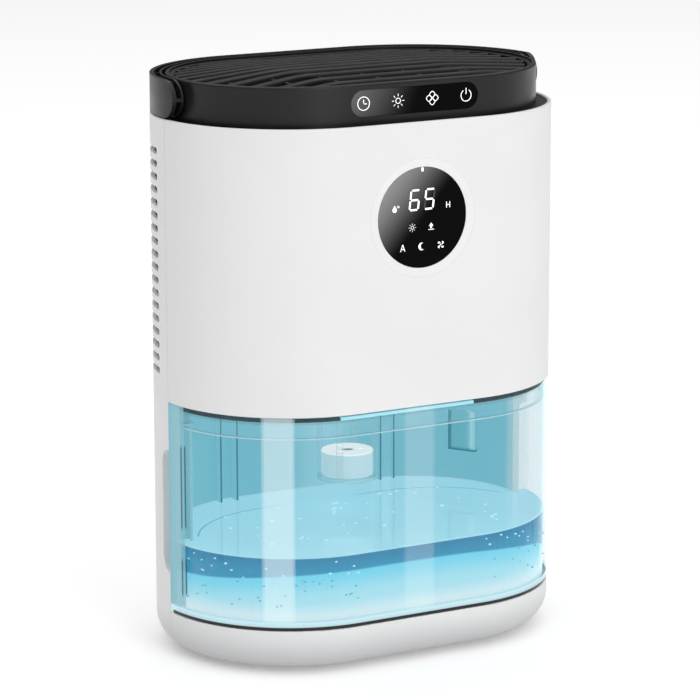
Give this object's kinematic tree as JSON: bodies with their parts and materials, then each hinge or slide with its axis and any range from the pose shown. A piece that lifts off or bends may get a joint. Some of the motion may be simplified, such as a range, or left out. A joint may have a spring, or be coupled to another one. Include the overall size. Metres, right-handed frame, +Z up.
{
  "type": "tabletop dehumidifier",
  "caption": "Tabletop Peltier dehumidifier with a clear pull-out water tank, swing-up carry handle, touch strip, round display and top outlet grille.",
  "frame": {"origin": "on the floor plane, under the middle of the obround housing", "axes": "+Z up, -Y is the front with the display and tank, +X is to the right of someone facing the front"},
  "size_m": [0.245, 0.162, 0.34],
  "materials": {
    "white_shell": "satin white ABS",
    "black_shell": "satin black ABS",
    "black_part": "black moulded plastic",
    "gloss_lens": "gloss black acrylic",
    "tank_clear": "clear blue-tinted plastic",
    "light_guide": "clear acrylic light guide",
    "float_white": "white moulded plastic",
    "rubber": "soft rubber or foam",
    "screw_steel": "zinc-plated steel",
    "heatsink": "extruded aluminium",
    "ceramic_plate": "alumina plates",
    "brass_bush": "turned brass",
    "circuit_board": "green glass-epoxy board",
    "digit_block": "seven-segment module",
    "pad_spring": "plated contact spring"
  },
  "bodies": {
    "housing": {"back_screws": "screw_steel", "base_front": "white_shell", "bay_floor": "black_shell", "board_screws": "screw_steel", "case_screws": "screw_steel", "cold_sink": "heatsink", "dc_jack": "black_part", "digit_display": "digit_block", "display_board": "circuit_board", "display_housing": "black_part", "display_lens": "gloss_lens", "display_screws": "screw_steel", "drip_tray": "float_white", "fan_duct": "black_part", "fan_frame": "black_part", "fan_screws": "screw_steel", "fan_stator": "screw_steel", "float_sensor": "circuit_board", "front_shell": "white_shell", "handle_pins": "screw_steel", "hot_sink": "heatsink", "humidity_sensor": "circuit_board", "insulation_frame": "rubber", "light_diffuser": "black_part", "main_board": "circuit_board", "mid_chassis": "black_shell", "night_light_board": "circuit_board", "peltier_module": "ceramic_plate", "rear_shell": "white_shell", "rubber_feet": "rubber", "sink_bracket": "screw_steel", "sink_screws": "screw_steel", "top_cap": "black_shell", "top_grille": "black_shell", "touch_board": "circuit_board", "touch_lens": "gloss_lens", "touch_pads": "pad_spring"},
    "carry_handle": {"handle": "black_shell", "handle_bushes": "brass_bush"},
    "tank": {"water_tank": "tank_clear", "tank_lid": "tank_clear", "lid_seal": "rubber", "light_guide": "light_guide", "pour_plug": "rubber", "sensor_pocket": "tank_clear", "float_cage": "tank_clear"},
    "float_unit": {"float": "float_white", "float_magnet": "screw_steel"},
    "rotor": {"fan_rotor": "black_part"}
  },
  "joints": [
    {"name": "handle_swing", "type": "hinge", "parent": "housing", "child": "carry_handle", "pos_m": [0, 0.0017, 0.3291], "axis": [1, 0, 0], "range_deg": [0, 90]},
    {"name": "tank_pull", "type": "slide", "parent": "housing", "child": "tank", "axis": [0, -1, 0], "range_m": [0, 0.16]},
    {"name": "float_rise", "type": "slide", "parent": "tank", "child": "float_unit", "axis": [0, 0, 1], "range_m": [0, 0.035]},
    {"name": "fan_spin", "type": "hinge", "parent": "housing", "child": "rotor", "pos_m": [0, 0.002, 0.315], "axis": [0, 0, 1], "continuous": true}
  ]
}
